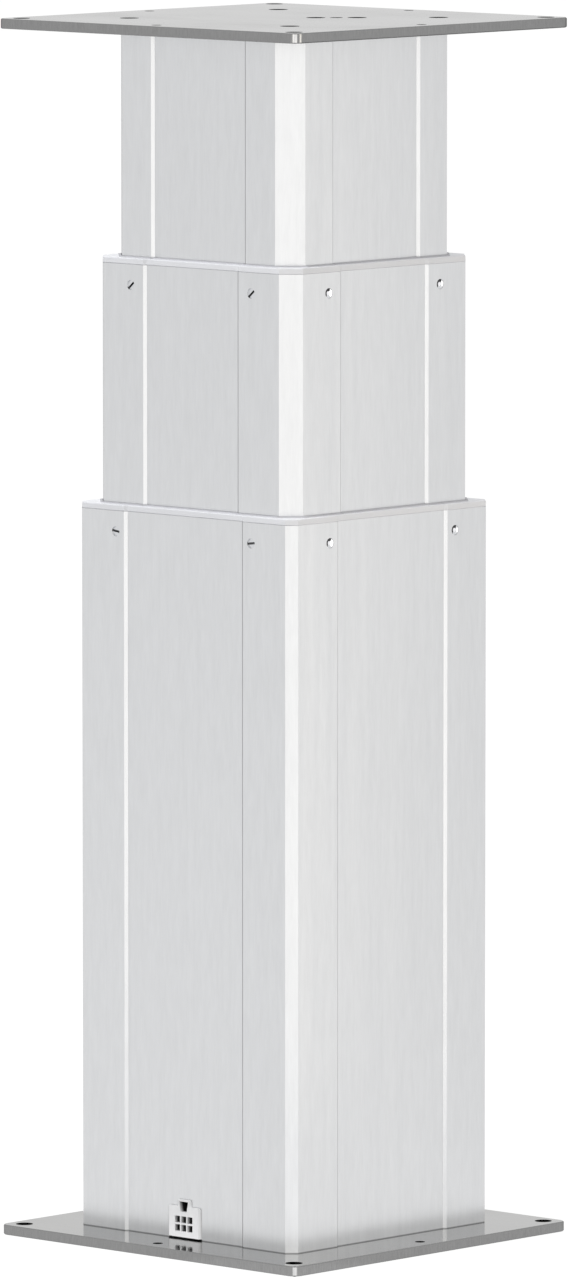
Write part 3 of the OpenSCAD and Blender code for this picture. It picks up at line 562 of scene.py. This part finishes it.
class COLUMN_OT_profiles(Operator):
    """Brush and anodise the three profiles"""

    bl_idname = "column.profiles"
    bl_label = "Profiles"

    def execute(self, context):
        dress("profile_aluminium", brushed_aluminium(context.scene.column_finishes))
        return {"FINISHED"}


class COLUMN_OT_plates(Operator):
    """Grind the base plate and the top plate"""

    bl_idname = "column.plates"
    bl_label = "Plates"

    def execute(self, context):
        finishes = context.scene.column_finishes
        for node, colour in (("base_plate", finishes.base_steel), ("top_plate", finishes.top_steel)):
            wear(frame["nodes"][node], ground_steel(finishes, node, colour))
        return {"FINISHED"}


class COLUMN_OT_plastics(Operator):
    """Mould the rim caps, the wipers, the slide pads and the housings"""

    bl_idname = "column.plastics"
    bl_label = "Rim caps, wipers, pads and housings"

    def execute(self, context):
        finishes = context.scene.column_finishes
        for slot, name, colour, roughness in (
            ("rim_plastic", "rim_acetal", finishes.rim_plastic, 0.42),
            ("wiper_rubber", "wiper_rubber", finishes.wiper_rubber, 0.7),
            ("pad_plastic", "pad_acetal", finishes.pad_plastic, 0.38),
            ("gear_plastic", "gear_acetal", finishes.gear_plastic, 0.4),
            ("case_plastic", "glass_filled_nylon", finishes.case_plastic, 0.5),
            ("lead_sheath", "lead_jacket", finishes.lead_jacket, 0.5),
        ):
            dress(slot, moulded_plastic(name, colour, roughness))
        return {"FINISHED"}


class COLUMN_OT_socket(Operator):
    """Mould the socket at the foot and tin its contacts"""

    bl_idname = "column.socket"
    bl_label = "Socket"

    def execute(self, context):
        finishes = context.scene.column_finishes
        dress("socket_plastic", socket_nylon(finishes))
        dress("contact_metal", plain_metal("tinned_contacts", finishes.contact_tin, 0.22))
        return {"FINISHED"}


class COLUMN_OT_fasteners(Operator):
    """Plate the set screws and blacken the cap screws and countersunk screws"""

    bl_idname = "column.fasteners"
    bl_label = "Screws"

    def execute(self, context):
        finishes = context.scene.column_finishes
        dress("set_screw_steel", plain_metal("zinc_plating", finishes.zinc, 0.26))
        for name in ("outer_set_screws", "mid_set_screws"):
            wear(frame["nodes"][name], slotted_screws(finishes, name))
        dress("dark_screw_steel", black_oxide(finishes))
        return {"FINISHED"}


class COLUMN_OT_pegs(Operator):
    """Cap the fixed pegs of the outer and the middle profile"""

    bl_idname = "column.pegs"
    bl_label = "Peg caps"

    def execute(self, context):
        finishes = context.scene.column_finishes
        # Plain plating, a painted highlight of bright plating, and a painted shadow of black oxide
        dish = {
            PLAIN: plain_metal("dish_plating", finishes.zinc, 0.2),
            PAINTED_HIGHLIGHT: plain_metal("bright_plating", finishes.bright_plating, 0.1),
            PAINTED_SHADOW: black_oxide(finishes),
        }
        for stage, offset in PEG_OFFSETS.items():
            piece = peg_dimples(stage, offset)
            for place in sorted(dish):
                piece.data.materials.append(dish[place])
            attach(piece, "base_stage" if stage == "outer" else "mid_stage")
        return {"FINISHED"}


class COLUMN_OT_drive(Operator):
    """Finish the motor, the gear case lid, the bracket and the telescopic screw"""

    bl_idname = "column.drive"
    bl_label = "Drive"

    def execute(self, context):
        finishes = context.scene.column_finishes
        castings = plain_metal("cast_aluminium", finishes.cast_metal, 0.42, depth=0.00008, share=0.1)
        dress("lid_aluminium", castings)
        dress("motor_paint", dip_coat("motor_coat", finishes.motor_coat, 0.35))
        dress("screw_steel", plain_metal("spindle_steel", finishes.spindle_steel, 0.2, grain=TURNED_GRAIN))
        dress("bearing_steel", plain_metal("bearing_steel", finishes.bearing_steel, 0.12))
        dress("bronze", plain_metal("bronze", finishes.bronze, 0.3, share=0.08))
        return {"FINISHED"}


# ---------------------------------------------------------------- studio


WHITE = (1.0, 1.0, 1.0)
WARM = (1.0, 0.96, 0.89)
AMBER = (1.0, 0.94, 0.84)

# Camera: its place, the point that it looks at, and its lens and sensor in millimetres
EYE = (4.0077, -4.3204, 0.9219)
AIM = (0.00115, -0.00091, 0.29607)
LENS = 336.7
SENSOR = 36.0
NEAR, FAR = 0.1, 200.0

# Floor: half its side, its gap below the base plate, and how far its glow reaches under the plate
FLOOR_REACH = 60.0
FLOOR_GAP = 0.0002
GLOW_UNDER = 0.002
# Dark cloth behind the column: the side it lies on, and how the floor's glow falls off towards it
CLOTH_SIDE = (-0.469, 0.883, 0.0)
CLOTH_FALL = (0.4, 0.85, 1.0, 0.5)
# Pool of light on the floor in front: its side, its edges sideways and outwards, and its level
POOL_SIDE = (0.643, -0.766, 0.0)
POOL_EDGE = (0.86, 0.93, 0.0, 1.0)
POOL_REACH = (0.60, 0.66, 1.0, 0.0)
POOL_LEVEL = 1.13

# Soft lamps: name, place, height on the column's axis that it aims at, width and height, its power's
# setting, its colour, and whether polished faces mirror it
LAMPS = (
    ("key_lamp", (-0.70, -1.93, 2.75), 0.3, (1.8, 1.8), "key_power", WHITE, False),
    ("front_lamp", (0.405, -0.483, 0.47), 0.47, (0.58, 0.94), "front_power", WARM, True),
    ("front_strip_left", (0.314, -0.544, 0.47), 0.47, (0.17, 0.94), "strip_power", WARM, True),
    ("front_strip_right", (0.542, -0.298, 0.47), 0.47, (0.17, 0.94), "strip_power", WARM, True),
    ("high_front_lamp", (5.14, -6.13, 1.28), 1.28, (7.2, 0.8), "high_power", WHITE, True),
    ("right_lamp", (0.46, 0.06, 0.32), 0.32, (0.14, 0.64), "right_power", AMBER, True),
)


def point_at(piece, place, aim):
    """Stands a camera or a lamp at a place and turns it to a point."""
    piece.location = place
    piece.rotation_mode = "QUATERNION"
    piece.rotation_quaternion = (Vector(aim) - Vector(place)).to_track_quat("-Z", "Y")


def area_lamp(name, size, power, colour):
    """Soft rectangular lamp that the camera doesn't see."""
    data = bpy.data.lights.new(name, "AREA")
    data.shape = "RECTANGLE"
    data.size, data.size_y = size
    data.energy = power
    data.color = colour
    lamp = bpy.data.objects.new(name, data)
    lamp.visible_camera = False
    bpy.context.scene.collection.objects.link(lamp)
    return lamp


def unlit_share(tree, glossy_part=None):
    """1 for camera, glossy and transmission rays, else 0; glossy rays may get a part only."""
    path = tree.nodes.new("ShaderNodeLightPath").outputs
    glossy = path["Is Glossy Ray"]
    if glossy_part is not None:
        glossy = tree.maths("MULTIPLY", glossy, glossy_part)
    seen = tree.maths("MAXIMUM", path["Is Camera Ray"], glossy)
    return tree.maths("MAXIMUM", seen, path["Is Transmission Ray"])


def before_cloth(tree, point):
    """1 on the floor in front and at the sides, falling off on the dark cloth behind the column."""
    return tree.ramp(tree.towards(point, CLOTH_SIDE), *CLOTH_FALL)


def lit_pool(tree, point):
    """More than 1 on the floor between the column and the front lamp, else 1."""
    ahead = tree.ramp(tree.towards(point, POOL_SIDE), *POOL_EDGE)
    near = tree.ramp(tree.vector_maths("LENGTH", point).outputs["Value"], *POOL_REACH)
    return tree.ramp(tree.maths("MULTIPLY", ahead, near), 0.0, 1.0, 1.0, POOL_LEVEL)


def outside_plate(tree, point):
    """1 on the open floor, 0 under the base plate but for its edge."""
    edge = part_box("base_plate")[1].x - GLOW_UNDER
    return tree.maths("GREATER_THAN", tree.across(point, "MAXIMUM"), edge)


def pale_sky(level):
    """World that looks white and lights the matt surfaces evenly at its own level."""
    world = bpy.data.worlds.new("studio")
    tree = Nodes(world)
    tree.nodes.clear()
    mix = tree.nodes.new("ShaderNodeMixShader")
    tree.links.new(unlit_share(tree), mix.inputs["Fac"])
    for strength, socket in ((level, mix.inputs[1]), (1.0, mix.inputs[2])):
        background = tree.nodes.new("ShaderNodeBackground")
        background.inputs["Color"].default_value = (*WHITE, 1.0)
        background.inputs["Strength"].default_value = strength
        tree.links.new(background.outputs["Background"], socket)
    output = tree.nodes.new("ShaderNodeOutputWorld")
    tree.links.new(mix.outputs["Shader"], output.inputs["Surface"])
    return world


def pale_floor(tone, glow_level):
    """Matt floor with a glow of its own that the camera and polished faces see."""
    material = bpy.data.materials.new("pale_floor")
    tree = Nodes(material)
    tree.nodes.clear()
    point = tree.place()
    matt = tree.nodes.new("ShaderNodeBsdfDiffuse")
    matt.inputs["Color"].default_value = (tone, tone, tone, 1.0)
    glow = tree.nodes.new("ShaderNodeEmission")
    mirrored = tree.maths("MULTIPLY", before_cloth(tree, point), lit_pool(tree, point))
    level = tree.product(unlit_share(tree, mirrored), glow_level, outside_plate(tree, point))
    tree.links.new(level, glow.inputs["Strength"])
    total = tree.nodes.new("ShaderNodeAddShader")
    tree.links.new(matt.outputs["BSDF"], total.inputs[0])
    tree.links.new(glow.outputs["Emission"], total.inputs[1])
    output = tree.nodes.new("ShaderNodeOutputMaterial")
    tree.links.new(total.outputs["Shader"], output.inputs["Surface"])
    return material


class COLUMN_OT_camera(Operator):
    """Set the camera in front of a corner of the column, a little above it"""

    bl_idname = "column.camera"
    bl_label = "Camera"

    def execute(self, context):
        camera = bpy.data.objects.new("camera", bpy.data.cameras.new("camera"))
        camera.data.sensor_width = SENSOR
        camera.data.lens = LENS
        camera.data.clip_start = NEAR
        camera.data.clip_end = FAR
        point_at(camera, EYE, AIM)
        context.scene.collection.objects.link(camera)
        context.scene.camera = camera
        return {"FINISHED"}


class COLUMN_OT_studio(Operator):
    """Lay the pale floor and hang the soft lamps"""

    bl_idname = "column.studio"
    bl_label = "Studio"

    def execute(self, context):
        studio = context.scene.column_studio
        context.scene.world = pale_sky(studio.sky_level)

        mesh = bpy.data.meshes.new("floor")
        grid = bmesh.new()
        bmesh.ops.create_grid(grid, x_segments=2, y_segments=2, size=FLOOR_REACH)
        grid.to_mesh(mesh)
        grid.free()
        floor = bpy.data.objects.new("floor", mesh)
        floor.location = (0.0, 0.0, -FLOOR_GAP)
        context.scene.collection.objects.link(floor)
        mesh.materials.append(pale_floor(studio.floor_tone, studio.floor_glow))

        for name, place, height, size, power, colour, mirrored in LAMPS:
            lamp = area_lamp(name, size, getattr(studio, power), colour)
            point_at(lamp, place, (0.0, 0.0, height))
            lamp.visible_glossy = mirrored
        context.scene.view_settings.view_transform = "Standard"
        return {"FINISHED"}


# ---------------------------------------------------------------- panel and registration


class COLUMN_PT_sidebar(Panel):
    """Lists every step of the column and its settings"""

    bl_idname = "COLUMN_PT_sidebar"
    bl_label = "Lifting column"
    bl_space_type = "VIEW_3D"
    bl_region_type = "UI"
    bl_category = "Lifting column"

    def draw(self, context):
        for group in (context.scene.column_finishes, context.scene.column_studio):
            for name in group.__annotations__:
                self.layout.prop(group, name)
        for step in STEPS:
            self.layout.operator(step.bl_idname)


STEPS = (
    COLUMN_OT_camera,
    COLUMN_OT_profiles,
    COLUMN_OT_plates,
    COLUMN_OT_plastics,
    COLUMN_OT_socket,
    COLUMN_OT_fasteners,
    COLUMN_OT_pegs,
    COLUMN_OT_drive,
    COLUMN_OT_studio,
)
CLASSES = (ColumnFinishes, ColumnStudio, *STEPS, COLUMN_PT_sidebar)


def register():
    for cls in CLASSES:
        bpy.utils.register_class(cls)
    bpy.types.Scene.column_finishes = PointerProperty(type=ColumnFinishes)
    bpy.types.Scene.column_studio = PointerProperty(type=ColumnStudio)


def unregister():
    del bpy.types.Scene.column_studio
    del bpy.types.Scene.column_finishes
    for cls in reversed(CLASSES):
        bpy.utils.unregister_class(cls)


def main():
    register()
    for step in STEPS:
        group, name = step.bl_idname.split(".")
        getattr(getattr(bpy.ops, group), name)()


if __name__ == "__main__":
    main()
